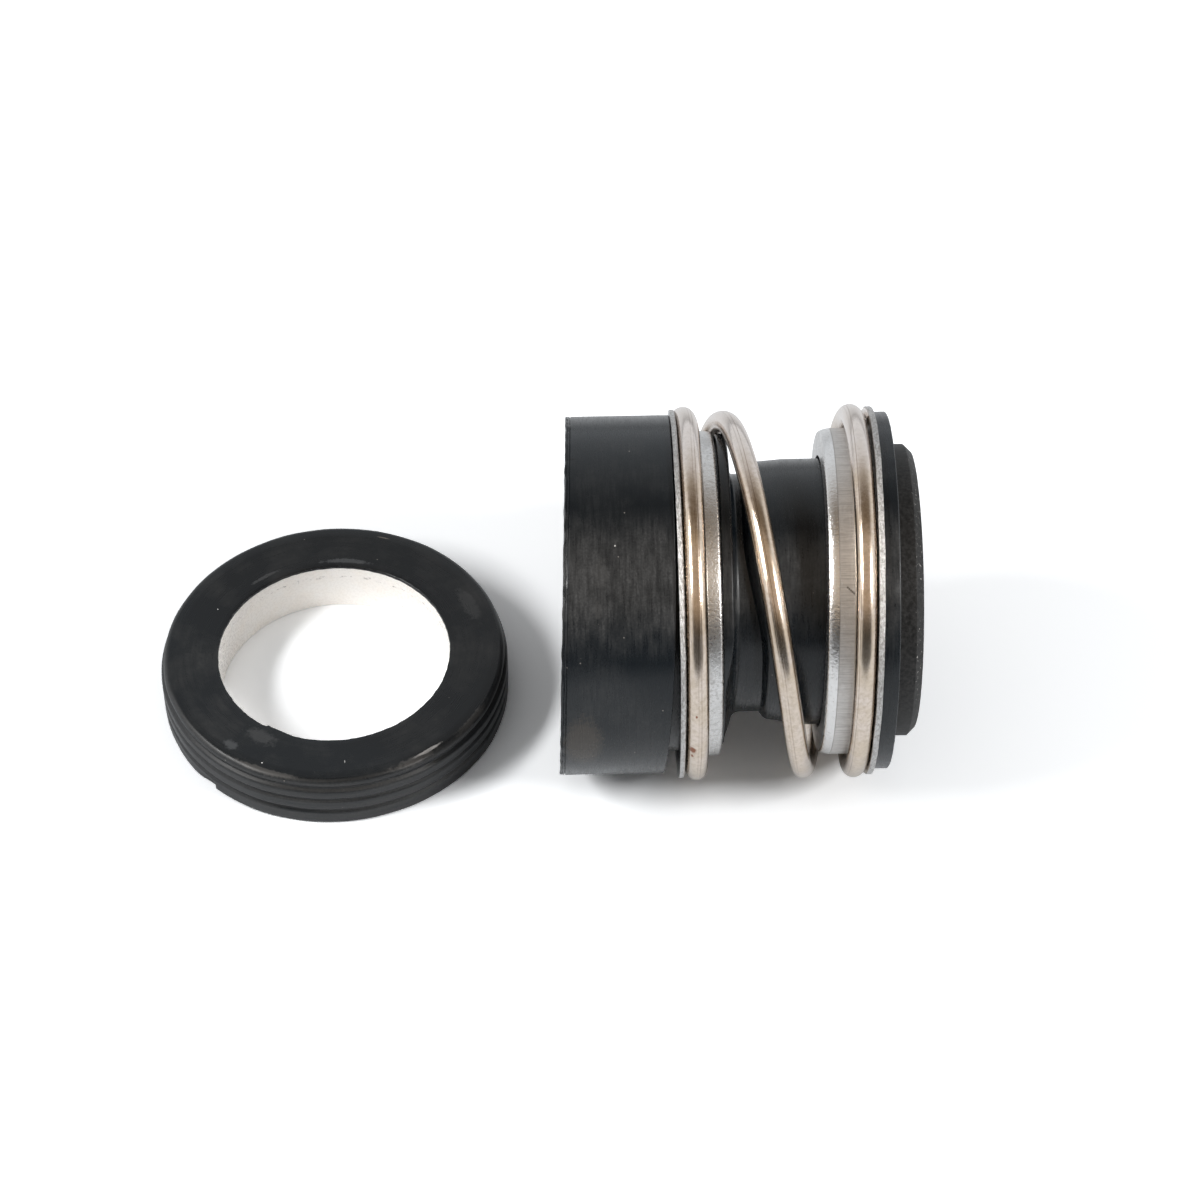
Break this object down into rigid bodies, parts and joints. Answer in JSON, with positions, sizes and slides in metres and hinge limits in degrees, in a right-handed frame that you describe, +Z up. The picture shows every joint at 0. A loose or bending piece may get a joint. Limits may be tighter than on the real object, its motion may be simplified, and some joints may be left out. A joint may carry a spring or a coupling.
{
  "type": "component mechanical seal",
  "caption": "Shaft seal set: a rubber bellows with coil spring, stamped retainers and carbon face ring, and a separate ceramic seat in a ribbed rubber cup.",
  "frame": {"origin": "on the shaft axis at the tail end of the bellows, where the shaft goes in", "axes": "+X along the shaft from the bellows' tail to the carbon sealing face, +Z up from the plane that the spring and the seat rest on"},
  "size_m": [0.0766, 0.041, 0.0374],
  "materials": {
    "bellows_rubber": "moulded, dusty satin",
    "cup_rubber": "moulded satin",
    "stamped_steel": "stamped, satin",
    "spring_wire": "drawn wire with die lines",
    "carbon": "pressed carbon, matt",
    "ceramic": "sintered, ivory white"
  },
  "bodies": {
    "tail": {"bellows": "bellows_rubber", "tail_retainer": "stamped_steel", "spring": "spring_wire", "seat_cup": "cup_rubber", "seat_ring": "ceramic"},
    "head": {"head_retainer": "stamped_steel", "face_ring": "carbon"}
  },
  "joints": [
    {"name": "face_travel", "type": "slide", "parent": "tail", "child": "head", "axis": [-1, 0, 0], "range_m": [0, 0.003], "stiffness_N_per_m": 3600, "deforming": ["spring", "bellows"]}
  ]
}
